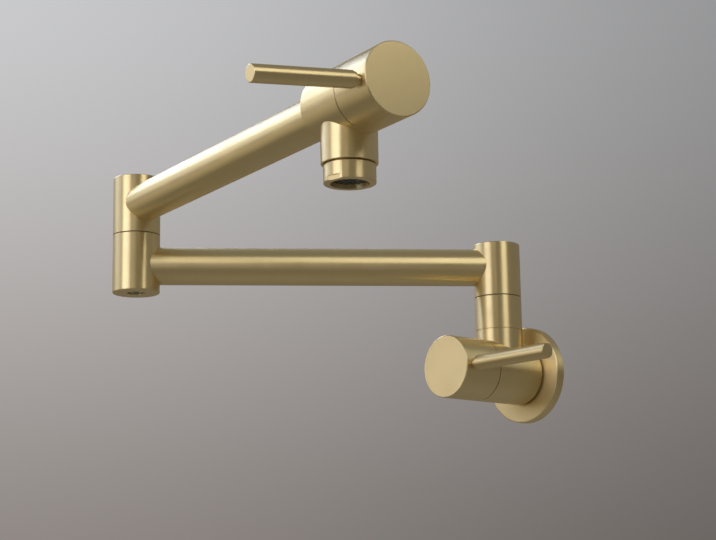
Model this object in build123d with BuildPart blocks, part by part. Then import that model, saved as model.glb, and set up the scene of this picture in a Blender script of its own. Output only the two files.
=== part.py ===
"""Wall mounted pot filler: two swivelling arms, a lever valve at each end, a nozzle that points down.

Frame: +Z up, the wall's surface is the plane y = 0 and the room is at -y. The origin is the
centre of the cover disc's back face, on the axis of the wall valve. Sizes are in millimetres.
Threads are drawn as plain cylinders, the inside one larger by the thread clearance.
"""

import os
from math import cos, radians, sin

from build123d import *

# Cover disc against the wall, with a rubber ring in its back
flange_diameter = 63.0
flange_thickness = 6.5
flange_front_round = 0.9
flange_hole_clearance = 0.3
gasket_outer_rim = 4.5
gasket_inner_rim = 4.2
gasket_thickness = 2.0
gasket_clearance = 0.2

# Inlet at the back of the wall valve, for a 1/2 inch pipe thread
inlet_bore_radius = 9.32
inlet_depth = 14.0
neck_radius = 15.5

# Valve barrels; each is as long as its supply, its seat plate and the insert need
barrel_radius = 20.0
barrel_back_round = 1.2
wall_barrel_back = 8.0
wall_seat_plate = 6.0
spout_seat_plate = 3.0
edge_break = 0.4

# Valve insert: barrel, thread, hexagon and stem guide, and the water chamber around it
insert_barrel_radius = 8.9
insert_wall = 1.4
insert_depth = 24.0
insert_cavity_top = 9.0
insert_thread_step = 1.5
insert_thread_length = 11.0
hexagon_sides = 6
hexagon_ledge = 0.6
hexagon_height = 6.0
guide_radius = 8.5
guide_height = 12.0
window_width = 8.0
window_height = 5.0
chamber_gap = 2.6
chamber_opening = 1.5
seat_seal_thickness = 2.0
seat_hole_radius = 6.0

# Ceramic discs, and the stem whose pegs stand a quarter turn from their ports
disc_thickness = 2.8
disc_gap = 0.02
disc_port_radius = 2.0
disc_port_offset = 3.8
peg_radius = 1.1
peg_offset = 4.6
peg_length = 1.8
peg_turn = 90.0
stem_radius = 4.0
stem_foot_thickness = 3.0
stem_foot_width = 3.4
stem_flat_depth = 0.4
stem_end_margin = 2.5

# Cap on the stem, with its lever on one side and a grub screw on the other
cap_length = 29.9
cap_wall = 3.5
cap_front_wall = 3.0
cap_seam_gap = 0.6
cap_seam_break = 0.2
cap_front_break = 0.5
hub_radius = 8.0
hub_start = 13.0
lever_setback = 6.5
lever_reach = 82.7
lever_radius = 4.75
lever_end_break = 0.6
lever_thread_radius = 2.95
lever_thread_length = 6.0
lever_neck_radius = 2.8
lever_neck_length = 2.4
lever_ring_radius = 4.1
lever_ring_length = 1.4
grub_radius = 2.0
grub_length = 5.0
grub_tip_gap = 0.1
grub_socket_across_flats = 2.0
grub_socket_depth = 2.0
grub_access_radius = 2.4

# Column of the wall swivel: the valve's stub, the ring nut on it, and the head that turns
column_radius = 15.25
stub_above_barrel = 7.5
stub_neck_length = 11.5
stub_wall = 3.5
collar_length = 21.75
collar_wall = 2.7
collar_lip = 5.2
arm_1_above_collar = 20.75
head_above_arm_1 = 15.0
seam_break = 0.3
column_end_break = 0.5

# Swivel pivots, their rubber rings and the plastic washers
spigot_wall = 3.0
spigot_socket_depth = 11.0
socket_ledge = 1.5
socket_end_gap = 0.2
wall_spigot_reach = 19.0
wall_spigot_shoulder = 3.0
shoulder_clearance = 0.5
thrust_washer_thickness = 0.9
thrust_gap = 0.1
ring_section_radius = 0.75
ring_groove_width = 1.9
ring_bore_gap = 0.1
wall_ring_drops = (14.0, 8.0)
slip_washer_thickness = 0.4
slip_washer_inset = 0.65
slip_gap = 0.05
water_bore_end = 5.0

# Arms: the tube, the lengths from axis to axis or to the spout barrel, and the pose at rest
tube_radius = 12.25
tube_wall = 1.5
port_ledge = 3.95
arm_1_length = 237.0
arm_2_length = 244.0
arm_1_angle = 55.1
elbow_fold = 63.4

# Elbow column
elbow_below_arm_1 = 18.0
elbow_seam_above_arm_1 = 19.75
arm_2_above_seam = 20.25
elbow_above_arm_2 = 18.0
elbow_end_break = 0.8
elbow_recess_radius = 5.7
elbow_recess_depth = 5.0
elbow_web = 3.0
elbow_web_hole_radius = 3.0
elbow_chamber_width = 1.95
elbow_chamber_height = 11.0
elbow_spigot_floor = 3.9
elbow_lower_ring = 2.1
elbow_ring_drops = (4.25, 9.25)
cross_hole_radius = 3.2
spigot_end_gap = 0.15
screw_radius = 2.5
screw_reach = 3.6
screw_head_radius = 4.3
screw_head_height = 3.0
screw_socket_across_flats = 4.0
screw_socket_depth = 2.0
screw_washer_radius = 5.4
screw_washer_thickness = 0.9
screw_washer_bore_gap = 0.2
screw_washer_gap = 0.1

# Spout valve: the tube's socket behind, the outlet below, and how far its lever droops
tube_socket_depth = 5.0
spout_lever_tilt = -6.0
outlet_radius = 15.25
outlet_below_barrel = 14.0
outlet_bore_radius = 8.5
outlet_mouth_depth = 8.0

# Nozzle in the outlet
nozzle_step = 1.25
nozzle_length = 10.0
nozzle_seam = 0.5
nozzle_thread_wall = 2.0
nozzle_thread_length = 6.3
nozzle_pocket_wall = 1.0
nozzle_lip = 2.5
nozzle_lip_width = 0.6
nozzle_end_break = 0.6
spanner_flat_depth = 0.75
spanner_flat_height = 2.6
spanner_flat_turn = 70.0
aerator_height = 9.0
aerator_clearance = 0.05
aerator_edge = 0.55
aerator_hole_radius = 1.1
aerator_rings = 3
aerator_first_ring = 6
nozzle_washer_gap = 0.2

# Clearances between pieces that fit each other, each on the radius
thread_clearance = 0.05
running_clearance = 0.05
saddle_clearance = 0.03

# How closely an edge must lie to the circle that it is looked for by
match_tolerance = 1e-4

# Sizes of the valves that follow from the ones above
flange_radius = flange_diameter / 2
flange_hole_radius = neck_radius + flange_hole_clearance
gasket_outer_radius = flange_radius - gasket_outer_rim
gasket_inner_radius = flange_hole_radius + gasket_inner_rim
neck_ring_height = (gasket_thickness + flange_thickness) / 2
insert_thread_radius = insert_barrel_radius + insert_thread_step
insert_cavity_radius = insert_barrel_radius - insert_wall
hexagon_apothem = insert_thread_radius + hexagon_ledge
chamber_radius = insert_barrel_radius + chamber_gap
chamber_top = chamber_radius - chamber_opening
seat_depth = insert_depth + seat_seal_thickness
disc_radius = insert_cavity_radius - running_clearance
turning_disc_bottom = insert_depth - disc_thickness - disc_gap
stem_foot_bottom = turning_disc_bottom - disc_thickness
cap_face = cap_seam_gap + cap_length
lever_height = cap_face - lever_setback
stem_top = lever_height + stem_end_margin
wall_supply = wall_seat_plate + seat_depth
wall_seam = inlet_depth + wall_supply
spout_supply = spout_seat_plate + seat_depth
spout_seam = arm_2_length + tube_socket_depth + spout_supply

# Heights in the columns, above the wall valve's axis
stub_height = barrel_radius + stub_above_barrel
stub_neck_height = stub_height + stub_neck_length
collar_top = stub_height + collar_length
collar_lip_bottom = collar_top - collar_lip
head_bottom = collar_top + slip_washer_thickness + slip_gap
arm_1_height = collar_top + arm_1_above_collar
head_top = arm_1_height + head_above_arm_1
elbow_bottom = arm_1_height - elbow_below_arm_1
elbow_seam = arm_1_height + elbow_seam_above_arm_1
elbow_upper_bottom = elbow_seam + slip_washer_thickness + slip_gap
arm_2_height = elbow_seam + arm_2_above_seam
elbow_top = arm_2_height + elbow_above_arm_2
elbow_bore_bottom = elbow_bottom + elbow_recess_depth + elbow_web
elbow_spigot_bottom = elbow_bore_bottom + spigot_end_gap
wall_ring_heights = [stub_neck_height - drop for drop in wall_ring_drops]
elbow_ring_heights = [elbow_seam - drop for drop in elbow_ring_drops]
elbow_ring_heights.append(elbow_spigot_bottom + elbow_lower_ring)

# Radii in the columns and in the tubes
collar_thread_radius = column_radius - collar_wall
spigot_bore_fit = collar_thread_radius - stub_wall
spigot_radius = spigot_bore_fit - running_clearance
spigot_bore_radius = spigot_radius - spigot_wall
spigot_socket_radius = spigot_radius + thread_clearance
water_bore_radius = spigot_radius - socket_ledge
lip_bore_radius = spigot_radius + shoulder_clearance
shoulder_radius = collar_thread_radius - shoulder_clearance
elbow_chamber_radius = spigot_bore_fit + elbow_chamber_width
ring_radius = spigot_bore_fit - ring_bore_gap - ring_section_radius
groove_depth = 2 * ring_section_radius + ring_bore_gap - running_clearance
tube_bore_radius = tube_radius - tube_wall
port_radius = tube_bore_radius - port_ledge

# Sizes of the outlet and its nozzle
outlet_length = barrel_radius + outlet_below_barrel
nozzle_radius = outlet_radius - nozzle_step
nozzle_thread_radius = nozzle_radius - nozzle_thread_wall
nozzle_pocket_radius = nozzle_thread_radius - nozzle_pocket_wall
nozzle_end = nozzle_seam + nozzle_length
nozzle_lip_top = nozzle_end - nozzle_lip
outlet_mouth_radius = nozzle_thread_radius + thread_clearance
aerator_radius = nozzle_pocket_radius - aerator_clearance
aerator_pitch = (aerator_radius - aerator_edge - aerator_hole_radius) / aerator_rings

# Places of the columns: each stands in the middle of its barrel
column_offset = (wall_barrel_back + wall_seam) / 2
outlet_distance = (arm_2_length + spout_seam) / 2

# Planes. The wall plane looks into the room; each seam plane looks along its valve towards the
# cap, with its x along the lever. The column planes look up. The arm planes run along the arms.
arm_1_direction = Vector(-cos(radians(arm_1_angle)), -sin(radians(arm_1_angle)), 0)
arm_2_turn = arm_1_angle - elbow_fold
arm_2_direction = Vector(cos(radians(arm_2_turn)), sin(radians(arm_2_turn)), 0)
up = Vector(0, 0, 1)
wall_column_foot = Vector(0, -column_offset, 0)
elbow_foot = wall_column_foot + arm_1_direction * arm_1_length
outlet_point = elbow_foot + arm_2_direction * outlet_distance + up * arm_2_height
spout_level = arm_2_direction.cross(up)
spout_lever_direction = (
    spout_level * cos(radians(spout_lever_tilt)) + up * sin(radians(spout_lever_tilt))
)
wall_plane = Plane((0, 0, 0), x_dir=(1, 0, 0), z_dir=(0, -1, 0))
wall_seam_plane = wall_plane.offset(wall_seam)
wall_column = Plane(wall_column_foot, x_dir=(1, 0, 0), z_dir=(0, 0, 1))
elbow_column = Plane(elbow_foot, x_dir=(1, 0, 0), z_dir=(0, 0, 1))
arm_1_plane = Plane(wall_column_foot + up * arm_1_height, x_dir=up, z_dir=arm_1_direction)
arm_2_plane = Plane(
    elbow_foot + up * arm_2_height, x_dir=spout_lever_direction, z_dir=arm_2_direction
)
spout_seam_plane = arm_2_plane.offset(spout_seam)
outlet_plane = Plane(outlet_point, x_dir=arm_2_direction, z_dir=(0, 0, -1))
nozzle_plane = outlet_plane.offset(outlet_length)
seams = {"wall": wall_seam_plane, "spout": spout_seam_plane}

os.makedirs("parts", exist_ok=True)


def write_piece(piece, label):
    """Name a finished piece and write it as its own file."""
    piece.part.label = label
    export_step(piece.part, f"parts/{label}.step")


def rim(piece, plane, height, radius):
    """The circular edges of a round piece, of one radius, at one height above a plane."""
    centre = plane.offset(height).origin
    circles = piece.edges().filter_by(GeomType.CIRCLE)
    return [
        edge
        for edge in circles
        if abs(edge.radius - radius) < match_tolerance
        and (edge.arc_center - centre).length < match_tolerance
    ]


def disc(plane, bottom, top, radius, mode=Mode.ADD):
    """A cylinder between two heights above a plane, added to or cut from the piece."""
    with BuildSketch(plane.offset(bottom)) as outline:
        Circle(radius)
    extrude(outline.sketch, amount=top - bottom, mode=mode)


def ring(plane, bottom, top, outer, inner, mode=Mode.ADD):
    """A round ring between two heights above a plane, added to or cut from the piece."""
    with BuildSketch(plane.offset(bottom)) as outline:
        Circle(outer)
        Circle(inner, mode=Mode.SUBTRACT)
    extrude(outline.sketch, amount=top - bottom, mode=mode)


def half_section(column):
    """The plane through a column's axis in which a turned profile is drawn, its y upward."""
    return Plane(column.origin, x_dir=column.x_dir, z_dir=-column.y_dir)


def ring_grooves(column, heights):
    """The grooves for rubber rings, turned into a spigot."""
    groove_floor = spigot_radius - groove_depth
    with BuildSketch(half_section(column)) as outline:
        with Locations(*[(groove_floor, height) for height in heights]):
            Rectangle(2 * groove_depth, ring_groove_width, align=(Align.MIN, Align.CENTER))
    revolve(outline.sketch, axis=Axis(column.origin, column.z_dir), mode=Mode.SUBTRACT)


def rubber_rings(column, heights):
    """Round rubber rings on a spigot, one solid at each height."""
    with BuildPart() as rings:
        with BuildSketch(half_section(column)):
            with Locations(*[(ring_radius, height) for height in heights]):
                Circle(ring_section_radius)
        revolve(axis=Axis(column.origin, column.z_dir))
    return rings


def slip_washer(column, bottom):
    """The thin plastic washer that shows as a dark line in a swivel seam."""
    outer = column_radius - slip_washer_inset
    with BuildPart() as washer:
        ring(column, bottom, bottom + slip_washer_thickness, outer, lip_bore_radius)
    return washer


# ---------------------------------------------------------------- valves, the same at both ends


def valve_interior(seam, supply):
    """Cut the seat hole, the water chamber and the threaded mouth into a valve body.

    The supply is how far behind the seam the water comes in.
    """
    mouth_radius = insert_thread_radius + thread_clearance
    disc(seam, -supply, -seat_depth, seat_hole_radius, Mode.SUBTRACT)
    disc(seam, -seat_depth, -insert_thread_length, chamber_radius, Mode.SUBTRACT)
    disc(seam, -insert_thread_length, 0, mouth_radius, Mode.SUBTRACT)


def seat_seal(seam):
    """The rubber ring that seals the insert against the bottom of the valve body."""
    with BuildPart() as seal:
        ring(seam, -seat_depth, -insert_depth, insert_barrel_radius, seat_hole_radius)
    return seal


def fixed_disc(seam):
    """The ceramic disc that stays still, with its two water ports."""
    with BuildPart() as plate:
        with BuildSketch(seam.offset(-insert_depth)):
            Circle(disc_radius)
            with PolarLocations(disc_port_offset, 2):
                Circle(disc_port_radius, mode=Mode.SUBTRACT)
        extrude(amount=disc_thickness)
    return plate


def turning_disc(seam):
    """The ceramic disc that the stem turns, with two ports and two holes for the stem's pegs."""
    with BuildPart() as plate:
        with BuildSketch(seam.offset(-turning_disc_bottom)):
            Circle(disc_radius)
            with PolarLocations(disc_port_offset, 2):
                Circle(disc_port_radius, mode=Mode.SUBTRACT)
            with PolarLocations(peg_offset, 2, start_angle=peg_turn):
                Circle(peg_radius + running_clearance, mode=Mode.SUBTRACT)
        extrude(amount=disc_thickness)
    return plate


def valve_insert(seam):
    """The brass insert: disc housing with side windows, thread, hexagon and stem guide."""
    with BuildPart() as insert:
        disc(seam, -insert_depth, 0, insert_barrel_radius)
        disc(seam, -insert_thread_length, 0, insert_thread_radius)
        with BuildSketch(seam):
            RegularPolygon(hexagon_apothem, hexagon_sides, major_radius=False)
        extrude(amount=hexagon_height)
        disc(seam, hexagon_height, guide_height, guide_radius)
        disc(seam, -insert_depth, -insert_cavity_top, insert_cavity_radius, Mode.SUBTRACT)
        stem_bore = stem_radius + running_clearance
        disc(seam, -insert_cavity_top, guide_height, stem_bore, Mode.SUBTRACT)
        with BuildSketch(seam.offset(-stem_foot_bottom)):
            Rectangle(2 * chamber_radius, window_width)
        extrude(amount=window_height, mode=Mode.SUBTRACT)
    return insert


def valve_stem(seam):
    """The stem: a bar with two pegs in the turning disc, and a shaft with a flat at its end."""
    with BuildPart() as stem:
        with BuildSketch(seam.offset(-stem_foot_bottom)):
            Circle(disc_radius)
            Rectangle(stem_foot_width, 2 * disc_radius, mode=Mode.INTERSECT)
        extrude(amount=stem_foot_thickness)
        disc(seam, -stem_foot_bottom + stem_foot_thickness, stem_top, stem_radius)
        with BuildSketch(seam.offset(-stem_foot_bottom)):
            with PolarLocations(peg_offset, 2, start_angle=peg_turn):
                Circle(peg_radius)
        extrude(amount=-peg_length)
        with BuildSketch(seam.offset(hub_start)):
            with Locations((-stem_radius, 0)):
                Rectangle(2 * stem_flat_depth, 2 * stem_radius)
        extrude(amount=stem_top - hub_start, mode=Mode.SUBTRACT)
    return stem


def cap(seam):
    """The handle cap: a deep round cup with a hub on the stem, open towards the barrel."""
    inner_radius = barrel_radius - cap_wall
    cavity_top = cap_face - cap_front_wall
    centre = seam.offset(lever_height).origin
    lever_side = Plane(centre, x_dir=seam.z_dir, z_dir=seam.x_dir)
    screw_side = Plane(centre, x_dir=seam.z_dir, z_dir=-seam.x_dir)
    with BuildPart() as cup:
        disc(seam, cap_seam_gap, cap_face, barrel_radius)
        chamfer(rim(cup, seam, cap_face, barrel_radius), cap_front_break)
        chamfer(rim(cup, seam, cap_seam_gap, barrel_radius), cap_seam_break)
        disc(seam, cap_seam_gap, hub_start, inner_radius, Mode.SUBTRACT)
        ring(seam, hub_start, cavity_top, inner_radius, hub_radius, Mode.SUBTRACT)
        hub_bore = stem_radius + thread_clearance
        disc(seam, hub_start, stem_top + socket_end_gap, hub_bore, Mode.SUBTRACT)
        lever_hole = lever_thread_radius + thread_clearance
        disc(lever_side, hub_radius, barrel_radius, lever_hole, Mode.SUBTRACT)
        grub_hole = grub_radius + thread_clearance
        disc(screw_side, 0, hub_radius, grub_hole, Mode.SUBTRACT)
        disc(screw_side, hub_radius, barrel_radius, grub_access_radius, Mode.SUBTRACT)
    return cup


def lever(seam):
    """The lever: threaded end in the cap, thin neck, narrow ring and a straight round rod."""
    centre = seam.offset(lever_height).origin
    outward = Plane(centre, x_dir=seam.z_dir, z_dir=seam.x_dir)
    thread_end = barrel_radius - edge_break
    neck_end = barrel_radius + lever_neck_length
    rod_start = neck_end + lever_ring_length
    with BuildPart() as rod:
        disc(outward, rod_start, lever_reach, lever_radius)
        chamfer(rim(rod, outward, lever_reach, lever_radius), lever_end_break)
        chamfer(rim(rod, outward, rod_start, lever_radius), lever_end_break)
        disc(outward, neck_end, rod_start, lever_ring_radius)
        disc(outward, thread_end, neck_end, lever_neck_radius)
        disc(outward, barrel_radius - lever_thread_length, thread_end, lever_thread_radius)
    return rod


def grub_screw(seam):
    """The small screw in the hub, opposite the lever, that bears on the stem's flat."""
    centre = seam.offset(lever_height).origin
    inward = Plane(centre, x_dir=seam.z_dir, z_dir=-seam.x_dir)
    tip = stem_radius - stem_flat_depth + grub_tip_gap
    head = tip + grub_length
    with BuildPart() as screw:
        disc(inward, tip, head, grub_radius)
        with BuildSketch(inward.offset(head)):
            RegularPolygon(grub_socket_across_flats / 2, hexagon_sides, major_radius=False)
        extrude(amount=-grub_socket_depth, mode=Mode.SUBTRACT)
    return screw


for end, seam in seams.items():
    write_piece(seat_seal(seam), f"{end}_seat_seal")
    write_piece(fixed_disc(seam), f"{end}_fixed_disc")
    write_piece(valve_insert(seam), f"{end}_insert")
    write_piece(turning_disc(seam), f"{end}_turning_disc")
    write_piece(valve_stem(seam), f"{end}_stem")
    write_piece(cap(seam), f"{end}_cap")
    write_piece(lever(seam), f"{end}_lever")
    write_piece(grub_screw(seam), f"{end}_grub_screw")

# ---------------------------------------------------------------- wall end

# Flat cover disc: a hole for the valve's neck with a groove in it, a recess behind
with BuildPart() as wall_flange:
    ring(wall_plane, 0, flange_thickness, flange_radius, flange_hole_radius)
    groove_bottom = neck_ring_height - ring_groove_width / 2
    groove_top = groove_bottom + ring_groove_width
    groove_radius = neck_radius + 2 * ring_section_radius
    disc(wall_plane, groove_bottom, groove_top, groove_radius, Mode.SUBTRACT)
    fillet(rim(wall_flange, wall_plane, flange_thickness, flange_radius), flange_front_round)
    recess_outer = gasket_outer_radius + gasket_clearance
    recess_inner = gasket_inner_radius - gasket_clearance
    ring(wall_plane, 0, gasket_thickness, recess_outer, recess_inner, Mode.SUBTRACT)
write_piece(wall_flange, "wall_flange")

with BuildPart() as flange_gasket:
    ring(wall_plane, 0, gasket_thickness, gasket_outer_radius, gasket_inner_radius)
write_piece(flange_gasket, "flange_gasket")

# Round rubber ring in the disc's groove, which grips the valve's neck
with BuildPart() as flange_neck_ring:
    with BuildSketch(half_section(wall_plane)):
        with Locations((neck_radius + ring_section_radius, neck_ring_height)):
            Circle(ring_section_radius)
    revolve(axis=Axis(wall_plane.origin, wall_plane.z_dir))
write_piece(flange_neck_ring, "flange_neck_ring")

# Barrel with the inlet neck behind it and the column stub on top of it
with BuildPart() as wall_valve_body:
    disc(wall_plane, wall_barrel_back, wall_seam, barrel_radius)
    fillet(rim(wall_valve_body, wall_plane, wall_barrel_back, barrel_radius), barrel_back_round)
    chamfer(rim(wall_valve_body, wall_plane, wall_seam, barrel_radius), cap_seam_break)
    disc(wall_plane, 0, wall_barrel_back, neck_radius)
    disc(wall_column, 0, stub_height, column_radius)
    chamfer(rim(wall_valve_body, wall_column, stub_height, column_radius), seam_break)
    disc(wall_column, 0, stub_neck_height, collar_thread_radius)
    valve_interior(wall_seam_plane, wall_supply)
    disc(wall_plane, 0, inlet_depth, inlet_bore_radius, Mode.SUBTRACT)
    disc(wall_column, chamber_top, stub_neck_height, spigot_bore_fit, Mode.SUBTRACT)
write_piece(wall_valve_body, "wall_valve_body")

# Ring nut on the stub; its inner lip holds the shoulder of the spigot down
with BuildPart() as wall_collar:
    disc(wall_column, stub_height, collar_top, column_radius)
    for height in (stub_height, collar_top):
        chamfer(rim(wall_collar, wall_column, height, column_radius), seam_break)
    collar_bore = collar_thread_radius + thread_clearance
    disc(wall_column, stub_height, collar_lip_bottom, collar_bore, Mode.SUBTRACT)
    disc(wall_column, collar_lip_bottom, collar_top, lip_bore_radius, Mode.SUBTRACT)
write_piece(wall_collar, "wall_collar")

shoulder_top = collar_lip_bottom - thrust_washer_thickness - thrust_gap
with BuildPart() as wall_thrust_washer:
    washer_bottom = collar_lip_bottom - thrust_washer_thickness
    ring(wall_column, washer_bottom, collar_lip_bottom, shoulder_radius, lip_bore_radius)
write_piece(wall_thrust_washer, "wall_thrust_washer")

write_piece(slip_washer(wall_column, collar_top), "wall_slip_washer")

# ---------------------------------------------------------------- lower arm

# Hollow pivot screwed into the head; its shoulder turns under the collar's lip
with BuildPart() as wall_spigot:
    spigot_bottom = stub_neck_height - wall_spigot_reach
    spigot_top = head_bottom + spigot_socket_depth - socket_end_gap
    disc(wall_column, spigot_bottom, spigot_top, spigot_radius)
    disc(wall_column, shoulder_top - wall_spigot_shoulder, shoulder_top, shoulder_radius)
    disc(wall_column, spigot_bottom, spigot_top, spigot_bore_radius, Mode.SUBTRACT)
    ring_grooves(wall_column, wall_ring_heights)
write_piece(wall_spigot, "wall_spigot")

write_piece(rubber_rings(wall_column, wall_ring_heights), "wall_spigot_rings")

# Upper part of the wall column, closed on top, with a port for the tube
with BuildPart() as arm_1_head:
    disc(wall_column, head_bottom, head_top, column_radius)
    chamfer(rim(arm_1_head, wall_column, head_top, column_radius), column_end_break)
    chamfer(rim(arm_1_head, wall_column, head_bottom, column_radius), seam_break)
    socket_top = head_bottom + spigot_socket_depth
    disc(wall_column, head_bottom, socket_top, spigot_socket_radius, Mode.SUBTRACT)
    disc(wall_column, socket_top, head_top - water_bore_end, water_bore_radius, Mode.SUBTRACT)
    disc(arm_1_plane, 0, column_radius, port_radius, Mode.SUBTRACT)
write_piece(arm_1_head, "arm_1_head")

# Straight tube whose ends are cut to the shape of the two columns
with BuildPart() as arm_1_tube:
    ring(arm_1_plane, 0, arm_1_length, tube_radius, tube_bore_radius)
    for column in (wall_column, elbow_column):
        disc(column, 0, elbow_top, column_radius + saddle_clearance, Mode.SUBTRACT)
write_piece(arm_1_tube, "arm_1_tube")

# Lower half of the elbow column: bore for the pivot, water chamber, recess for the screw
with BuildPart() as elbow_lower:
    disc(elbow_column, elbow_bottom, elbow_seam, column_radius)
    chamfer(rim(elbow_lower, elbow_column, elbow_bottom, column_radius), elbow_end_break)
    chamfer(rim(elbow_lower, elbow_column, elbow_seam, column_radius), seam_break)
    recess_top = elbow_bottom + elbow_recess_depth
    disc(elbow_column, elbow_bottom, recess_top, elbow_recess_radius, Mode.SUBTRACT)
    disc(elbow_column, recess_top, elbow_bore_bottom, elbow_web_hole_radius, Mode.SUBTRACT)
    disc(elbow_column, elbow_bore_bottom, elbow_seam, spigot_bore_fit, Mode.SUBTRACT)
    chamber_bottom = arm_1_height - elbow_chamber_height / 2
    chamber_end = chamber_bottom + elbow_chamber_height
    disc(elbow_column, chamber_bottom, chamber_end, elbow_chamber_radius, Mode.SUBTRACT)
    arm_1_end = arm_1_plane.offset(arm_1_length)
    disc(arm_1_end, -column_radius, 0, port_radius, Mode.SUBTRACT)
write_piece(elbow_lower, "elbow_lower")

write_piece(slip_washer(elbow_column, elbow_seam), "elbow_slip_washer")

# ---------------------------------------------------------------- upper arm

# Upper half of the elbow column, closed on top, with a port for the tube
with BuildPart() as elbow_upper:
    disc(elbow_column, elbow_upper_bottom, elbow_top, column_radius)
    chamfer(rim(elbow_upper, elbow_column, elbow_top, column_radius), column_end_break)
    chamfer(rim(elbow_upper, elbow_column, elbow_upper_bottom, column_radius), seam_break)
    socket_top = elbow_upper_bottom + spigot_socket_depth
    disc(elbow_column, elbow_upper_bottom, socket_top, spigot_socket_radius, Mode.SUBTRACT)
    bore_top = elbow_top - water_bore_end
    disc(elbow_column, socket_top, bore_top, water_bore_radius, Mode.SUBTRACT)
    disc(arm_2_plane, 0, column_radius, port_radius, Mode.SUBTRACT)
write_piece(elbow_upper, "elbow_upper")

# Hollow pivot screwed into the upper half; four cross holes let the water in
with BuildPart() as elbow_spigot:
    spigot_top = socket_top - socket_end_gap
    bore_floor = elbow_spigot_bottom + elbow_spigot_floor
    disc(elbow_column, elbow_spigot_bottom, spigot_top, spigot_radius)
    disc(elbow_column, bore_floor, spigot_top, spigot_bore_radius, Mode.SUBTRACT)
    screw_hole = screw_radius + thread_clearance
    disc(elbow_column, elbow_spigot_bottom, bore_floor, screw_hole, Mode.SUBTRACT)
    hole_centre = elbow_column.offset(arm_1_height).origin
    for side in (elbow_column.x_dir, elbow_column.y_dir):
        across = Plane(hole_centre, x_dir=up, z_dir=side)
        disc(across, -spigot_radius, spigot_radius, cross_hole_radius, Mode.SUBTRACT)
    ring_grooves(elbow_column, elbow_ring_heights)
write_piece(elbow_spigot, "elbow_spigot")

write_piece(rubber_rings(elbow_column, elbow_ring_heights), "elbow_spigot_rings")

# Screw and washer that hold the pivot from below, inside the recess
washer_top = elbow_bottom + elbow_recess_depth - screw_washer_gap
head_seat = washer_top - screw_washer_thickness
with BuildPart() as elbow_screw_washer:
    washer_bore = screw_radius + screw_washer_bore_gap
    ring(elbow_column, head_seat, washer_top, screw_washer_radius, washer_bore)
write_piece(elbow_screw_washer, "elbow_screw_washer")

with BuildPart() as elbow_screw:
    disc(elbow_column, head_seat - screw_head_height, head_seat, screw_head_radius)
    disc(elbow_column, head_seat, elbow_spigot_bottom + screw_reach, screw_radius)
    with BuildSketch(elbow_column.offset(head_seat - screw_head_height)):
        RegularPolygon(screw_socket_across_flats / 2, hexagon_sides, major_radius=False)
    extrude(amount=screw_socket_depth, mode=Mode.SUBTRACT)
write_piece(elbow_screw, "elbow_screw")

# Straight tube: cut to the elbow's shape at one end, square in the valve's socket at the other
with BuildPart() as arm_2_tube:
    tube_end = arm_2_length + tube_socket_depth
    ring(arm_2_plane, 0, tube_end, tube_radius, tube_bore_radius)
    disc(elbow_column, 0, elbow_top, column_radius + saddle_clearance, Mode.SUBTRACT)
write_piece(arm_2_tube, "arm_2_tube")

# Barrel with the tube's socket behind and the outlet under it
with BuildPart() as spout_valve_body:
    disc(arm_2_plane, arm_2_length, spout_seam, barrel_radius)
    chamfer(rim(spout_valve_body, arm_2_plane, arm_2_length, barrel_radius), edge_break)
    chamfer(rim(spout_valve_body, arm_2_plane, spout_seam, barrel_radius), cap_seam_break)
    disc(outlet_plane, 0, outlet_length, outlet_radius)
    chamfer(rim(spout_valve_body, outlet_plane, outlet_length, outlet_radius), seam_break)
    valve_interior(spout_seam_plane, spout_supply)
    tube_socket_radius = tube_radius + saddle_clearance
    disc(arm_2_plane, arm_2_length, tube_end, tube_socket_radius, Mode.SUBTRACT)
    disc(outlet_plane, chamber_top, outlet_length, outlet_bore_radius, Mode.SUBTRACT)
    mouth_start = outlet_length - outlet_mouth_depth
    disc(outlet_plane, mouth_start, outlet_length, outlet_mouth_radius, Mode.SUBTRACT)
write_piece(spout_valve_body, "spout_valve_body")

# Nozzle ring: thread above, a lip below that holds the insert, and two spanner flats
with BuildPart() as nozzle_housing:
    flat_distance = nozzle_radius - spanner_flat_depth
    thread_start = -nozzle_thread_length
    disc(nozzle_plane, nozzle_seam, nozzle_end, nozzle_radius)
    chamfer(rim(nozzle_housing, nozzle_plane, nozzle_end, nozzle_radius), nozzle_end_break)
    disc(nozzle_plane, thread_start, nozzle_seam, nozzle_thread_radius)
    disc(nozzle_plane, thread_start, nozzle_lip_top, nozzle_pocket_radius, Mode.SUBTRACT)
    lip_radius = nozzle_pocket_radius - nozzle_lip_width
    disc(nozzle_plane, nozzle_lip_top, nozzle_end, lip_radius, Mode.SUBTRACT)
    with BuildSketch(nozzle_plane.offset(nozzle_end - spanner_flat_height)):
        with PolarLocations(flat_distance, 2, start_angle=spanner_flat_turn):
            Rectangle(nozzle_radius, 2 * nozzle_radius, align=(Align.MIN, Align.CENTER))
    extrude(amount=spanner_flat_height, mode=Mode.SUBTRACT)
write_piece(nozzle_housing, "nozzle_housing")

# Perforated insert: one centre hole and rings of holes around it
with BuildPart() as aerator_insert:
    with BuildSketch(nozzle_plane.offset(nozzle_lip_top - aerator_height)):
        Circle(aerator_radius)
        Circle(aerator_hole_radius, mode=Mode.SUBTRACT)
        for number in range(1, aerator_rings + 1):
            with PolarLocations(number * aerator_pitch, number * aerator_first_ring):
                Circle(aerator_hole_radius, mode=Mode.SUBTRACT)
    extrude(amount=aerator_height)
write_piece(aerator_insert, "aerator_insert")

with BuildPart() as nozzle_washer:
    washer_bore = outlet_bore_radius + nozzle_washer_gap
    ring(nozzle_plane, -outlet_mouth_depth, thread_start, nozzle_thread_radius, washer_bore)
write_piece(nozzle_washer, "nozzle_washer")
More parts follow.
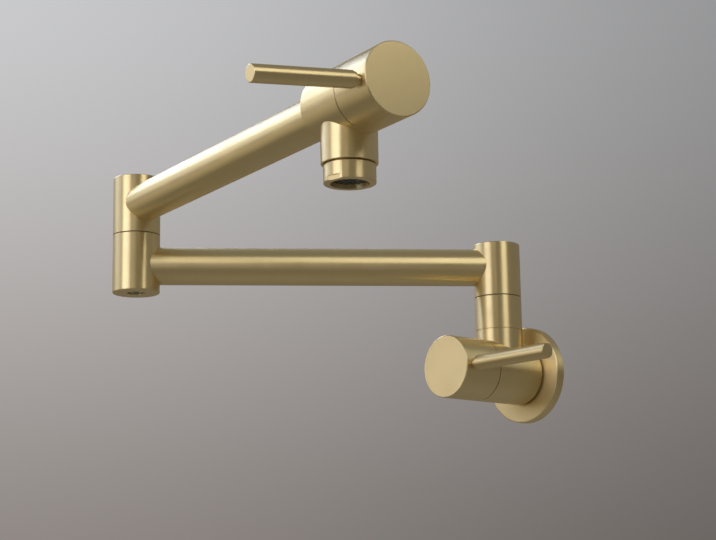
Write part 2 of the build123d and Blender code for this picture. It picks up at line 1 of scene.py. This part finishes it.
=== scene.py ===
"""Wall mounted pot filler in brushed champagne brass: its finishes, its light and its camera.

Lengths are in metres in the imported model's own frame: +Z up, the mounting face at y = 0 and the
front at -y. The file follows the fitting from its mounting outwards: cover disc, wall valve, its
swivel, lower arm, elbow, upper arm, spout valve, handles, nozzle, and then the studio.
"""

import math

import bmesh
import bpy
import numpy as np
from mathutils import Matrix, Vector


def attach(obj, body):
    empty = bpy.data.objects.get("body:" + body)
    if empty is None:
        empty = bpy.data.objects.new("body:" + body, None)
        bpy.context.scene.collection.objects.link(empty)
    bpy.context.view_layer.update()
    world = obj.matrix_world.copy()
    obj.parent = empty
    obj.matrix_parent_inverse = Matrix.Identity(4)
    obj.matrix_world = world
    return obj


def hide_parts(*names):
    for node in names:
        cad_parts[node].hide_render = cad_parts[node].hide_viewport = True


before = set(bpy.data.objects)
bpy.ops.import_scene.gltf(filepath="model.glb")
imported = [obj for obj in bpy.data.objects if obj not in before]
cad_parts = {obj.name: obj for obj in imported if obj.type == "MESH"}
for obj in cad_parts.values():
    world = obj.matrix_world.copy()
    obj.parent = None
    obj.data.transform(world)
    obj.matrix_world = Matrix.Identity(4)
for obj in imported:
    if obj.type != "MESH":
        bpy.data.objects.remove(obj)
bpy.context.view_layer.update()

# ------------------------------------------------------------------ camera
# It stands in front, to the right of the wall valve and a little below it, and looks up at the
# arms. Its place, its turn and its lens were fitted to the edges that the photograph shows.
image_width_px = 716
focal_length_px = 1737.553
camera_place = (0.792875, -0.83314, -0.16333)
yaw, pitch, roll = (math.radians(angle) for angle in (49.191, 11.704, -0.943))
camera_data = bpy.data.cameras.new("camera")
camera_data.sensor_fit = "HORIZONTAL"
camera_data.lens = camera_data.sensor_width * focal_length_px / image_width_px
camera = bpy.data.objects.new("camera", camera_data)
bpy.context.scene.collection.objects.link(camera)
bpy.context.scene.camera = camera
ahead = Vector(
    (-math.sin(yaw) * math.cos(pitch), math.cos(yaw) * math.cos(pitch), math.sin(pitch))
)
level_right = Vector((math.cos(yaw), math.sin(yaw), 0.0))
level_up = level_right.cross(ahead)
tilted_right = level_right * math.cos(roll) + level_up * math.sin(roll)
tilted_up = level_up * math.cos(roll) - level_right * math.sin(roll)
camera_turn = Matrix((tilted_right, tilted_up, -ahead)).transposed().to_4x4()
camera.matrix_world = Matrix.Translation(camera_place) @ camera_turn

# ------------------------------------------------------------------ cover disc
# A flat disc turned from brass bar, brushed and coated, that hides the end of the inlet pipe. It
# slides on the neck of the wall valve, a rubber ring in its bore grips the neck, and a flat
# rubber gasket in its back seals it where it is mounted.
mm = 0.001
up = Vector((0.0, 0.0, 1.0))
mount_point = Vector((0.0, 0.0, 0.0))
outward = Vector((0.0, -1.0, 0.0))
barrel_radius = 20 * mm
disc_outline = [
    (15.8, 0), (19.8, 0), (19.8, 2.0), (27.2, 2.0), (27.2, 0), (31.5, 0), (31.5, 6.5),
    (15.8, 6.5), (15.8, 5.2), (17.0, 5.2), (17.0, 3.3), (15.8, 3.3),
]
disc_edges = [0.1, 0.1, 0.1, 0.1, 0.1, 0.3, 0.9, 0.2, 0.1, 0.1, 0.1, 0.1]


def linear(code):
    """An sRGB hex colour as the linear numbers that a shader wants: a short straight line near
    black, and above it ((value + 0.055) / 1.055) to the power 2.4."""
    parts = [int(code[start : start + 2], 16) / 255 for start in (1, 3, 5)]
    return (*[p / 12.92 if p <= 0.04045 else ((p + 0.055) / 1.055) ** 2.4 for p in parts], 1.0)


def add(tree, kind, links=None, values=None, **settings):
    """One node with its settings, its sockets' values, and links from other nodes' outputs."""
    node = tree.nodes.new(kind)
    for name, value in settings.items():
        setattr(node, name, value)
    for socket, value in (values or {}).items():
        node.inputs[socket].default_value = value
    for socket, source in (links or {}).items():
        tree.links.new(source, node.inputs[socket])
    return node


def eased(corners, radii, steps=5):
    """A closed outline in millimetres with its corners rounded. Each arc touches both sides of
    its corner: its centre is on the line that halves the corner, at the radius divided by the
    sine of half the corner, and its points turn evenly from one touching point to the other. A
    further point a little before and after each arc keeps the straight sides' shading flat."""
    guard_length = 0.03
    corner, radius = np.array(corners, float), np.array(radii, float)[:, None]
    back, on = np.roll(corner, 1, 0) - corner, np.roll(corner, -1, 0) - corner
    back /= np.linalg.norm(back, axis=1)[:, None]
    on /= np.linalg.norm(on, axis=1)[:, None]
    half = np.arccos(np.clip((back * on).sum(1), -1, 1))[:, None] / 2
    middle = back + on
    centre = corner + middle / np.linalg.norm(middle, axis=1)[:, None] * radius / np.sin(half)
    first = corner + back * radius / np.tan(half) - centre
    last = corner + on * radius / np.tan(half) - centre
    sweep = (np.pi - 2 * half)[:, None, :]
    share = np.linspace(0, 1, steps + 1)[None, :, None]
    swing = np.sin((1 - share) * sweep) * first[:, None] + np.sin(share * sweep) * last[:, None]
    arc = centre[:, None] + swing / np.sin(sweep)
    apart = guard_length * (radius > 0)
    guard = [(arc[:, 0] + apart * back)[:, None], (arc[:, -1] + apart * on)[:, None]]
    return np.concatenate([guard[0], arc, guard[1]], 1).reshape(-1, 2)


def turned(name, body, node, radius, height, foot, axis, zero, sides=192):
    """A closed surface round an axis. A point of the grid is foot + height along the axis +
    radius across it, at an even step of angle from the direction zero; radius and height in
    millimetres are a column for a plain turned piece, or differ from angle to angle. The last
    ring joins the first, and rings of no radius become poles. It stands for the CAD node."""
    merge_distance, sharp_angle = 1e-4 * mm, math.radians(32)
    zero = (zero - axis * zero.dot(axis)).normalized()
    angle = np.linspace(0, 2 * np.pi, sides, endpoint=False)[None, :, None]
    across = np.cos(angle) * np.array(zero) + np.sin(angle) * np.array(axis.cross(zero))
    radius, height = (np.broadcast_to(v, (len(v), sides))[:, :, None] for v in (radius, height))
    point = np.array(foot) + mm * (height * np.array(axis) + radius * across)
    ring, step = np.meshgrid(np.arange(len(point)), np.arange(sides), indexing="ij")
    above, beside = (ring + 1) % len(point), (step + 1) % sides
    corner = [ring * sides + step, ring * sides + beside, above * sides + beside,
              above * sides + step]
    mesh = bpy.data.meshes.new(name)
    mesh.from_pydata(point.reshape(-1, 3), [], np.stack(corner, -1).reshape(-1, 4))
    shell = bmesh.new()
    shell.from_mesh(mesh)
    bmesh.ops.remove_doubles(shell, verts=shell.verts, dist=merge_distance)
    bmesh.ops.dissolve_degenerate(shell, edges=shell.edges, dist=merge_distance)
    bare = [edge for edge in shell.edges if not edge.link_faces]
    bmesh.ops.delete(shell, geom=bare, context="EDGES")
    shell.to_mesh(mesh)
    shell.free()
    mesh.shade_smooth()
    mesh.set_sharp_from_angle(angle=sharp_angle)
    piece = bpy.data.objects.new(name, mesh)
    bpy.context.scene.collection.objects.link(piece)
    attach(piece, body)
    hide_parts(node)
    return piece


def brushed_brass(name, foot, axis, branch=None):
    """Brass, brushed with fine grit while it turned, under a champagne coloured coat. The marks
    run round the axis, so the gloss is drawn out along it; an end face was brushed straight
    across, a little off upright. A branch is a second (foot, axis) for what lies outside the
    barrel's own radius."""
    material = bpy.data.materials.new(name)
    material.use_nodes = True
    tree = material.node_tree
    tree.nodes.clear()
    surface = add(tree, "ShaderNodeTexCoord").outputs
    # Real brush marks are about 0.1 mm wide: drawn at 0.7 mm, so that they show in the render.
    mark_width, mark_length = 0.7 * mm, 24 * mm
    round_marks = (mark_length, mark_length, mark_width)
    end_marks = (mark_width, mark_length, mark_width)
    end_turn, end_face_facing = math.radians(12), 0.7
    # A small share of the end face's own direction, so that the gloss has one there too.
    end_share = 0.05
    past_barrel = barrel_radius + 0.05 * mm
    ways = []
    for start, along in [(foot, axis)] + ([branch] if branch else []):
        turn = along.to_track_quat("Z", "Y").to_matrix() @ Matrix.Rotation(end_turn, 3, "Z")
        spot = {"Location": start, "Rotation": turn.to_euler()}
        round_it, over_it = (
            add(tree, "ShaderNodeMapping", links={"Vector": surface["Object"]},
                values={**spot, "Scale": size}, vector_type="TEXTURE").outputs["Vector"]
            for size in (round_marks, end_marks)
        )
        facing = add(tree, "ShaderNodeVectorMath", links={0: surface["Normal"]},
                     values={1: along}, operation="DOT_PRODUCT").outputs["Value"]
        square_on = add(tree, "ShaderNodeMath", links={0: facing},
                        operation="ABSOLUTE").outputs["Value"]
        end_face = add(tree, "ShaderNodeMath", links={0: square_on}, values={1: end_face_facing},
                       operation="GREATER_THAN").outputs["Value"]
        lines = add(tree, "ShaderNodeMix", data_type="VECTOR",
                    links={"Factor": end_face, 4: round_it, 5: over_it}).outputs[1]
        ways.append((lines, along + end_share * (turn @ Vector((1.0, 0.0, 0.0)))))
    lines, grain = ways[0]
    if branch:
        level = add(tree, "ShaderNodeMapping", links={"Vector": surface["Object"]},
                    values={"Location": foot, "Rotation": axis.to_track_quat("Z", "Y").to_euler(),
                            "Scale": (1.0, 1.0, 1e6)}, vector_type="TEXTURE").outputs["Vector"]
        away = add(tree, "ShaderNodeVectorMath", links={0: level}, operation="LENGTH")
        beyond = add(tree, "ShaderNodeMath", links={0: away.outputs["Value"]},
                     values={1: past_barrel}, operation="GREATER_THAN")
        lines = add(tree, "ShaderNodeMix", data_type="VECTOR", links={
            "Factor": beyond.outputs["Value"], 4: ways[0][0], 5: ways[1][0]}).outputs[1]
        chosen = add(tree, "ShaderNodeMix", data_type="VECTOR",
                     links={"Factor": beyond.outputs["Value"]},
                     values={4: ways[0][1], 5: ways[1][1]}).outputs[1]
        grain_links, grain_values = {"Vector": chosen}, {}
    else:
        grain_links, grain_values = {}, {"Vector": grain}
    tangent = add(tree, "ShaderNodeVectorTransform", links=grain_links, values=grain_values,
                  vector_type="VECTOR", convert_from="OBJECT", convert_to="WORLD")
    marks = add(tree, "ShaderNodeTexNoise", links={"Vector": lines},
                values={"Scale": 1.0, "Detail": 3.0, "Roughness": 0.6}).outputs["Fac"]
    cloud = add(tree, "ShaderNodeTexNoise", links={"Vector": surface["Object"]},
                values={"Scale": 45.0, "Detail": 2.0}).outputs["Fac"]
    both = add(tree, "ShaderNodeMath", links={0: marks, 1: cloud},
               operation="ADD").outputs["Value"]
    satin = add(tree, "ShaderNodeMapRange", links={"Value": both}, values={
        "From Min": 0.7, "From Max": 1.3, "To Min": 0.32, "To Max": 0.42}).outputs["Result"]
    tone = add(tree, "ShaderNodeMix", data_type="RGBA", links={"Factor": marks},
               values={6: linear("#E4CC91"), 7: linear("#EAD59D")}).outputs[2]
    relief = add(tree, "ShaderNodeBump", links={"Height": marks},
                 values={"Strength": 0.25, "Distance": 0.02 * mm}).outputs["Normal"]
    shader = add(
        tree, "ShaderNodeBsdfPrincipled",
        links={"Base Color": tone, "Roughness": satin, "Normal": relief,
               "Tangent": tangent.outputs["Vector"]},
        values={"Metallic": 1.0, "Anisotropic": 0.85},
    )
    add(tree, "ShaderNodeOutputMaterial", links={"Surface": shader.outputs["BSDF"]})
    return material


def moulded(name, dark, light, roughness, grain):
    """A plain moulded or pressed material: two near shades in soft clouds, and the fine grain of
    the mould, its size in millimetres, as a slight relief and unevenness of the gloss."""
    material = bpy.data.materials.new(name)
    material.use_nodes = True
    tree = material.node_tree
    tree.nodes.clear()
    place = add(tree, "ShaderNodeTexCoord").outputs["Object"]
    cloud = add(tree, "ShaderNodeTexNoise", links={"Vector": place},
                values={"Scale": 120.0, "Detail": 2.0}).outputs["Fac"]
    pits = add(tree, "ShaderNodeTexNoise", links={"Vector": place},
               values={"Scale": 1 / (grain * mm), "Detail": 1.0}).outputs["Fac"]
    tone = add(tree, "ShaderNodeMix", data_type="RGBA", links={"Factor": cloud},
               values={6: linear(dark), 7: linear(light)}).outputs[2]
    gloss = add(tree, "ShaderNodeMapRange", links={"Value": pits}, values={
        "From Min": 0.3, "From Max": 0.7, "To Min": roughness - 0.05,
        "To Max": roughness + 0.05}).outputs["Result"]
    relief = add(tree, "ShaderNodeBump", links={"Height": pits},
                 values={"Strength": 0.3, "Distance": 0.03 * mm}).outputs["Normal"]
    shader = add(tree, "ShaderNodeBsdfPrincipled",
                 links={"Base Color": tone, "Roughness": gloss, "Normal": relief},
                 values={"IOR": 1.5})
    add(tree, "ShaderNodeOutputMaterial", links={"Surface": shader.outputs["BSDF"]})
    return material


def finish(material, *nodes):
    """Give carried over CAD nodes their material."""
    for node in nodes:
        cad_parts[node].data.materials.clear()
        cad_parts[node].data.materials.append(material)


outline = eased(disc_outline, disc_edges)
cover_disc = turned("cover_disc", "wall_body", "wall_flange", outline[:, :1], outline[:, 1:],
                    mount_point, outward, up, sides=256)
cover_disc.data.materials.append(brushed_brass("brushed_brass_disc", mount_point, outward))
# EPDM rubber, pressed in a matt mould: nearly black, dull, faintly grey where it has bloomed.
rubber = moulded("epdm_rubber", "#161617", "#222223", 0.72, 0.25)
finish(rubber, "flange_gasket", "flange_neck_ring")

# ------------------------------------------------------------------ wall valve
# The barrel, its inlet neck and the column stub on top are one brass piece, machined from a
# forging and brushed. Inside, a screwed brass insert presses two lapped ceramic discs on a
# rubber seat; a stem turns the front disc by a quarter turn.
column_foot = Vector((0.0, -27 * mm, 0.0))
finish(brushed_brass("brushed_brass_wall_barrel", mount_point, outward, (column_foot, up)),
       "wall_valve_body")


def turned_metal(name, foot, axis, dark, light, roughness):
    """Metal as it leaves the lathe: fine rings round the axis from the feed of the tool. Real
    ones stand about 0.1 mm apart; they are drawn 0.3 mm apart, so that they show close by."""
    material = bpy.data.materials.new(name)
    material.use_nodes = True
    tree = material.node_tree
    tree.nodes.clear()
    surface = add(tree, "ShaderNodeTexCoord").outputs
    feed = 0.3 * mm
    along = add(tree, "ShaderNodeMapping", links={"Vector": surface["Object"]}, values={
        "Location": foot, "Rotation": axis.to_track_quat("Z", "Y").to_euler(),
        "Scale": (30 * mm, 30 * mm, feed)}, vector_type="TEXTURE").outputs["Vector"]
    rings = add(tree, "ShaderNodeTexNoise", links={"Vector": along},
                values={"Scale": 1.0, "Detail": 1.0}).outputs["Fac"]
    tone = add(tree, "ShaderNodeMix", data_type="RGBA", links={"Factor": rings},
               values={6: linear(dark), 7: linear(light)}).outputs[2]
    gloss = add(tree, "ShaderNodeMapRange", links={"Value": rings}, values={
        "From Min": 0.3, "From Max": 0.7, "To Min": roughness - 0.06,
        "To Max": roughness + 0.06}).outputs["Result"]
    relief = add(tree, "ShaderNodeBump", links={"Height": rings},
                 values={"Strength": 0.4, "Distance": 0.02 * mm}).outputs["Normal"]
    shader = add(tree, "ShaderNodeBsdfPrincipled",
                 links={"Base Color": tone, "Roughness": gloss, "Normal": relief},
                 values={"Metallic": 1.0})
    add(tree, "ShaderNodeOutputMaterial", links={"Surface": shader.outputs["BSDF"]})
    return material


# Free-cutting brass, turned and left bare in the water way: yellower and brighter than the coat.
bare_brass = ("#D8B468", "#E6C57E", 0.3)
finish(turned_metal("turned_brass_wall", mount_point, outward, *bare_brass),
       "wall_insert", "wall_stem")
# Alumina, sintered and lapped flat: warm white with a slight gloss.
ceramic = moulded("lapped_ceramic", "#EFEBE0", "#F6F3EA", 0.22, 0.15)
finish(ceramic, "wall_fixed_disc", "wall_turning_disc")
finish(rubber, "wall_seat_seal")

# ------------------------------------------------------------------ swivel on the wall valve
# A ring nut screwed on the stub holds the shoulder of a hollow brass pivot down. Two rubber rings
# seal the pivot in the stub, and plastic washers carry the head and part it from the nut.
collar_outline = [
    (12.6, 27.5), (15.25, 27.5), (15.25, 49.25), (9.5, 49.25), (9.5, 44.05), (12.6, 44.05),
]
outline = eased(collar_outline, [0.1, 0.3, 0.3, 0.1, 0.1, 0.1])
ring_nut = turned("ring_nut", "wall_body", "wall_collar", outline[:, :1], outline[:, 1:],
                  column_foot, up, outward)
column_brass = brushed_brass("brushed_brass_wall_column", column_foot, up)
ring_nut.data.materials.append(column_brass)
# Acetal, moulded: milky white and smooth, made to slide.
acetal = moulded("white_acetal", "#DEDBD2", "#E9E6DE", 0.4, 0.3)
finish(acetal, "wall_thrust_washer")
# The same, coloured dark grey in the mass, for the thin washers and the insert. On the washers the
# dark
# grey is painted shade: it stands in for the shade in the seams, which show as dark lines.
grey_acetal_and_seam_shade = moulded("grey_acetal_and_seam_shade", "#38393B", "#454648", 0.42, 0.3)
finish(grey_acetal_and_seam_shade, "wall_slip_washer")
finish(rubber, "wall_spigot_rings")
finish(turned_metal("turned_brass_wall_pivot", column_foot, up, *bare_brass),
       "wall_spigot")

# ------------------------------------------------------------------ lower arm
# The head of the column is a brass cup, closed on top, screwed on the pivot. The arm is drawn
# brass tube, cut at both ends to the shape of the columns and soldered to them, then brushed.
arm_1_angle = math.radians(55.1)
arm_1_along = Vector((-math.cos(arm_1_angle), -math.sin(arm_1_angle), 0.0))
arm_1_foot = column_foot + up * 70 * mm
arm_1_length = 237
tube_outer, tube_inner = 12.25, 10.75
saddle = 15.28
head_outline = [
    (0, 80), (7.5, 80), (7.5, 60.7), (9.05, 60.7), (9.05, 49.7), (15.25, 49.7), (15.25, 85),
    (0, 85),
]
outline = eased(head_outline, [0, 0.1, 0.1, 0.1, 0.1, 0.3, 0.5, 0])
head = turned("column_head", "arm_1", "arm_1_head", outline[:, :1], outline[:, 1:],
              column_foot, up, outward)
head.data.materials.append(column_brass)


def straight_tube(name, body, node, foot, along, start, end, sides=192):
    """A straight tube between two ends. Each end is a length, or None for one that is cut to a
    column's shape: there a point of the tube's wall lies as far from the column's axis, seen
    from above, as the saddle's radius, so its length is the root of saddle squared less its
    sideways offset squared."""
    radius = np.array([tube_outer, tube_outer, tube_inner, tube_inner])[:, None]
    angle = np.linspace(0, 2 * np.pi, sides, endpoint=False)
    cut = np.sqrt(saddle**2 - (radius * np.sin(angle)) ** 2)
    first = cut if start is None else np.full_like(cut, start)
    last = arm_1_length - cut if end is None else np.full_like(cut, end)
    height = np.stack([first[0], last[1], last[2], first[3]])
    return turned(name, body, node, radius, height, foot, along, up, sides)


lower_tube = straight_tube("lower_arm_tube", "arm_1", "arm_1_tube", arm_1_foot, arm_1_along,
                           None, None)
lower_tube.data.materials.append(brushed_brass("brushed_brass_lower_arm", arm_1_foot, arm_1_along))

# ------------------------------------------------------------------ elbow
# Two brass cups that turn on each other about a hollow pivot. The pivot is screwed into the upper
# one, three rubber rings seal it in the lower one, and a steel screw in a recess holds it from
# below. A thin plastic washer parts the two; its dark grey is painted shade in the seam, so it
# shows as a dark line.
elbow_foot = column_foot + arm_1_along * arm_1_length * mm
elbow_brass = brushed_brass("brushed_brass_elbow", elbow_foot, up)
lower_outline = [
    (5.7, 52), (15.25, 52), (15.25, 89.75), (9.05, 89.75), (9.05, 75.5), (11.0, 75.5),
    (11.0, 64.5), (9.05, 64.5), (9.05, 60), (3.0, 60), (3.0, 57), (5.7, 57),
]
outline = eased(lower_outline, [0.3, 0.8, 0.3] + 9 * [0.1])
elbow_lower = turned("elbow_lower_half", "arm_1", "elbow_lower", outline[:, :1], outline[:, 1:],
                     elbow_foot, up, outward)
upper_outline = [
    (0, 123), (7.5, 123), (7.5, 101.2), (9.05, 101.2), (9.05, 90.2), (15.25, 90.2), (15.25, 128),
    (0, 128),
]
outline = eased(upper_outline, [0, 0.1, 0.1, 0.1, 0.1, 0.3, 0.5, 0])
elbow_upper = turned("elbow_upper_half", "arm_2", "elbow_upper", outline[:, :1], outline[:, 1:],
                     elbow_foot, up, outward)
for half in (elbow_lower, elbow_upper):
    half.data.materials.append(elbow_brass)
finish(turned_metal("turned_brass_elbow_pivot", elbow_foot, up, *bare_brass),
       "elbow_spigot")
# Stainless steel, turned and washed: cool grey, bright on the lands between the tool marks.
bare_steel = ("#B9B8B4", "#CFCDC8", 0.32)
finish(turned_metal("turned_steel_elbow", elbow_foot, up, *bare_steel),
       "elbow_screw", "elbow_screw_washer")
finish(rubber, "elbow_spigot_rings")
# The washer's dark grey is painted shade in the seam between the cups.
finish(grey_acetal_and_seam_shade, "elbow_slip_washer")

# ------------------------------------------------------------------ upper arm
# The same brass tube as the lower arm, cut to the elbow's shape at one end. Its other end is
# square and stands in a socket behind the spout valve, where it is soldered.
arm_2_angle = math.radians(55.1 - 63.4)
arm_2_along = Vector((math.cos(arm_2_angle), math.sin(arm_2_angle), 0.0))
arm_2_foot = elbow_foot + up * 110 * mm
upper_tube = straight_tube("upper_arm_tube", "arm_2", "arm_2_tube", arm_2_foot, arm_2_along,
                           None, 249)
upper_brass = brushed_brass("brushed_brass_upper_arm", arm_2_foot, arm_2_along)
upper_tube.data.materials.append(upper_brass)

# ------------------------------------------------------------------ spout valve
# The same as the wall valve, in a barrel at the end of the upper arm. Its brass body is one piece
# with the outlet that points down.
outlet_foot = elbow_foot + arm_2_along * 261 * mm
finish(brushed_brass("brushed_brass_spout_barrel", arm_2_foot, arm_2_along, (outlet_foot, up)),
       "spout_valve_body")
finish(turned_metal("turned_brass_spout", arm_2_foot, arm_2_along, *bare_brass),
       "spout_insert", "spout_stem")
finish(ceramic, "spout_fixed_disc", "spout_turning_disc")
finish(rubber, "spout_seat_seal")

# ------------------------------------------------------------------ handles
# Each valve has a deep brass cap on its stem, as wide as the barrel and parted from it by a thin
# gap. A brass rod with a thin neck is screwed into its side, and a small steel screw opposite it
# holds the cap on the stem. Caps and rods are turned and brushed.
wall_lever_foot = outward * 70 * mm
wall_lever_along = Vector((1.0, 0.0, 0.0))
droop = math.radians(-6)
spout_lever_foot = arm_2_foot + arm_2_along * 302 * mm
spout_lever_along = arm_2_along.cross(up) * math.cos(droop) + up * math.sin(droop)
lever_outline = [
    (0, 14), (2.95, 14), (2.95, 19.6), (2.8, 19.6), (2.8, 22.4), (4.1, 22.4), (4.1, 23.8),
    (4.75, 23.8), (4.75, 82.7), (0, 82.7),
]
outline = eased(lever_outline, [0, 0.2, 0.02, 0.02, 0.2, 0.3, 0.02, 0.5, 0.6, 0])
finish(brushed_brass("brushed_brass_wall_cap", mount_point, outward), "wall_cap")
finish(upper_brass, "spout_cap")
for end, foot, along in (("wall", wall_lever_foot, wall_lever_along),
                         ("spout", spout_lever_foot, spout_lever_along)):
    rod = turned(f"{end}_lever_rod", f"{end}_handle", f"{end}_lever", outline[:, :1],
                 outline[:, 1:], foot, along, up, sides=96)
    rod.data.materials.append(brushed_brass(f"brushed_brass_{end}_lever", foot, along))
    finish(turned_metal(f"turned_steel_{end}_screw", foot, along, *bare_steel),
           f"{end}_grub_screw")

# ------------------------------------------------------------------ nozzle
# A brass ring screwed into the outlet, with two flats for a spanner at its mouth. It holds a
# moulded insert full of small holes, which evens out the flow, under a rubber washer.
nozzle_foot = outlet_foot + up * 76 * mm
down = -up
sides = 192
flat_turn = math.radians(70.0)
angle = np.linspace(0, 2 * np.pi, sides, endpoint=False)
to_flat = np.abs(np.cos(angle - flat_turn))
flat = np.minimum(14.0, 13.25 / np.maximum(to_flat, 1e-6))
plain = np.ones(sides)
end_ease = np.radians(np.linspace(0, 90, 6))[:, None]
mouth_radius = np.minimum(flat, 13.4 + 0.6 * np.cos(end_ease))
nozzle_radius = np.vstack([
    11.0 * plain, 12.0 * plain, 12.0 * plain, 13.7 * plain, 14.0 * plain, 14.0 * plain, flat,
    mouth_radius, 10.4 * plain, 10.4 * plain, 11.0 * plain,
])
nozzle_height = np.vstack([
    -6.3 * plain, -6.3 * plain, 0.5 * plain, 0.5 * plain, 0.8 * plain, 7.9 * plain, 7.9 * plain,
    9.9 + 0.6 * np.sin(end_ease) * plain, 10.5 * plain, 8.0 * plain, 8.0 * plain,
])
nozzle_ring = turned("nozzle_ring", "arm_2", "nozzle_housing", nozzle_radius, nozzle_height,
                     nozzle_foot, down, arm_2_along, sides)
nozzle_ring.data.materials.append(brushed_brass("brushed_brass_nozzle", nozzle_foot, up))
finish(grey_acetal_and_seam_shade, "aerator_insert")
finish(rubber, "nozzle_washer")

# ------------------------------------------------------------------ studio
# A plain pale matt floor well below the fitting, wide enough to reach the horizon in every view,
# a plain surround that is paler on the left, and soft boxes: a tall one and a faint one in front,
# three on the left and one on the right.
floor_half_width, floor_height = 60.0, -1.3
floor_corners = floor_half_width * np.array([(-1, -1), (1, -1), (1, 1), (-1, 1)])
floor_mesh = bpy.data.meshes.new("floor")
floor_mesh.from_pydata(
    np.column_stack([floor_corners, np.full(4, floor_height)]), [], [(0, 1, 2, 3)]
)
floor_paint = bpy.data.materials.new("floor")
floor_paint.use_nodes = True
paint = floor_paint.node_tree.nodes["Principled BSDF"].inputs
paint["Base Color"].default_value = linear("#DAD5CB")
paint["Roughness"].default_value = 0.8
paint["Specular IOR Level"].default_value = 0.0
floor_mesh.materials.append(floor_paint)
floor = bpy.data.objects.new("floor", floor_mesh)
bpy.context.scene.collection.objects.link(floor)

bpy.context.scene.view_settings.view_transform = "Standard"
world = bpy.data.worlds.new("surround")
bpy.context.scene.world = world
world.use_nodes = True
sky = world.node_tree
sky.nodes.clear()
direction = add(sky, "ShaderNodeTexCoord").outputs["Generated"]
# The surround is brightest towards the left front, grows paler from the horizon up, and turns to
# an even overhead level above that. Its colour goes from slightly warm to neutral.
left_front_azimuth = math.radians(-158)
left_front = Vector((math.cos(left_front_azimuth), math.sin(left_front_azimuth), 0.0))
overhead_level = 0.24
leftness = add(sky, "ShaderNodeVectorMath", links={0: direction}, values={1: left_front},
               operation="DOT_PRODUCT").outputs["Value"]
side = add(sky, "ShaderNodeMapRange", links={"Value": leftness}, interpolation_type="SMOOTHSTEP",
           values={"From Min": 0.14, "From Max": 0.70, "To Min": 0.26, "To Max": 0.56})
height = add(sky, "ShaderNodeSeparateXYZ", links={"Vector": direction}).outputs["Z"]
rise = add(sky, "ShaderNodeMapRange", links={"Value": height}, interpolation_type="SMOOTHSTEP",
           values={"From Min": -0.05, "From Max": 0.42, "To Min": 0.42, "To Max": 1.2})
fall = add(sky, "ShaderNodeMapRange", links={"Value": height}, interpolation_type="SMOOTHSTEP",
           values={"From Min": 0.36, "From Max": 0.60, "To Min": 0.0, "To Max": 1.0})
low = add(sky, "ShaderNodeMath", operation="MULTIPLY",
          links={0: side.outputs["Result"], 1: rise.outputs["Result"]}).outputs["Value"]
level = add(sky, "ShaderNodeMix", data_type="FLOAT",
            links={"Factor": fall.outputs["Result"], 2: low},
            values={3: overhead_level}).outputs[0]
pale = add(sky, "ShaderNodeMapRange", links={"Value": height},
           values={"From Min": 0.05, "From Max": 0.32}).outputs["Result"]
tint = add(sky, "ShaderNodeMix", data_type="RGBA", links={"Factor": pale},
           values={6: linear("#FFF3EC"), 7: linear("#FBFBFD")}).outputs[2]
surround = add(sky, "ShaderNodeBackground", links={"Strength": level, "Color": tint})
add(sky, "ShaderNodeOutputWorld", links={"Surface": surround.outputs["Background"]})


def soft_box(name, azimuth, elevation, distance, width, height, radiance, tint):
    """A soft box that faces the middle of the fitting, of the given radiance on its own axis. Its
    power is the radiance times pi times its area, times 1 - half / tan(half) for half its beam,
    because a narrower beam of the same power is brighter by that much."""
    middle = Vector((-0.04, -0.12, 0.07))
    # A narrow beam lights the fitting and keeps most of its light off the floor below it.
    beam = math.radians(100)
    half_beam = beam / 2
    azimuth, elevation = math.radians(azimuth), math.radians(elevation)
    towards = Vector((math.cos(azimuth) * math.cos(elevation),
                      math.sin(azimuth) * math.cos(elevation), math.sin(elevation)))
    lamp = bpy.data.lights.new(name, "AREA")
    lamp.shape = "RECTANGLE"
    lamp.size, lamp.size_y = width, height
    lamp.spread = beam
    lamp.energy = radiance * math.pi * width * height * (1 - half_beam / math.tan(half_beam))
    lamp.color = linear(tint)[:3]
    box = bpy.data.objects.new(name, lamp)
    box.matrix_world = (Matrix.Translation(middle + distance * towards)
                        @ towards.to_track_quat("Z", "Y").to_matrix().to_4x4())
    box.visible_camera = False
    bpy.context.scene.collection.objects.link(box)


soft_box("front_box", -89.5, 10, 1.15, 0.74, 0.96, 2.9, "#E6E8FF")
soft_box("front_fill_box", -56, 16, 1.15, 0.46, 0.60, 0.6, "#FAF6F0")
soft_box("left_box", -175, 35, 1.15, 0.84, 0.48, 5.9, "#C2D4FF")
soft_box("low_left_box", -138, -12, 1.15, 0.84, 0.44, 0.42, "#FFF6E6")
soft_box("upper_left_box", -134, 22, 1.15, 0.62, 0.60, 1.1, "#C2D4FF")
soft_box("right_box", -3, 32, 1.6, 0.68, 0.95, 3.1, "#FAFBFF")
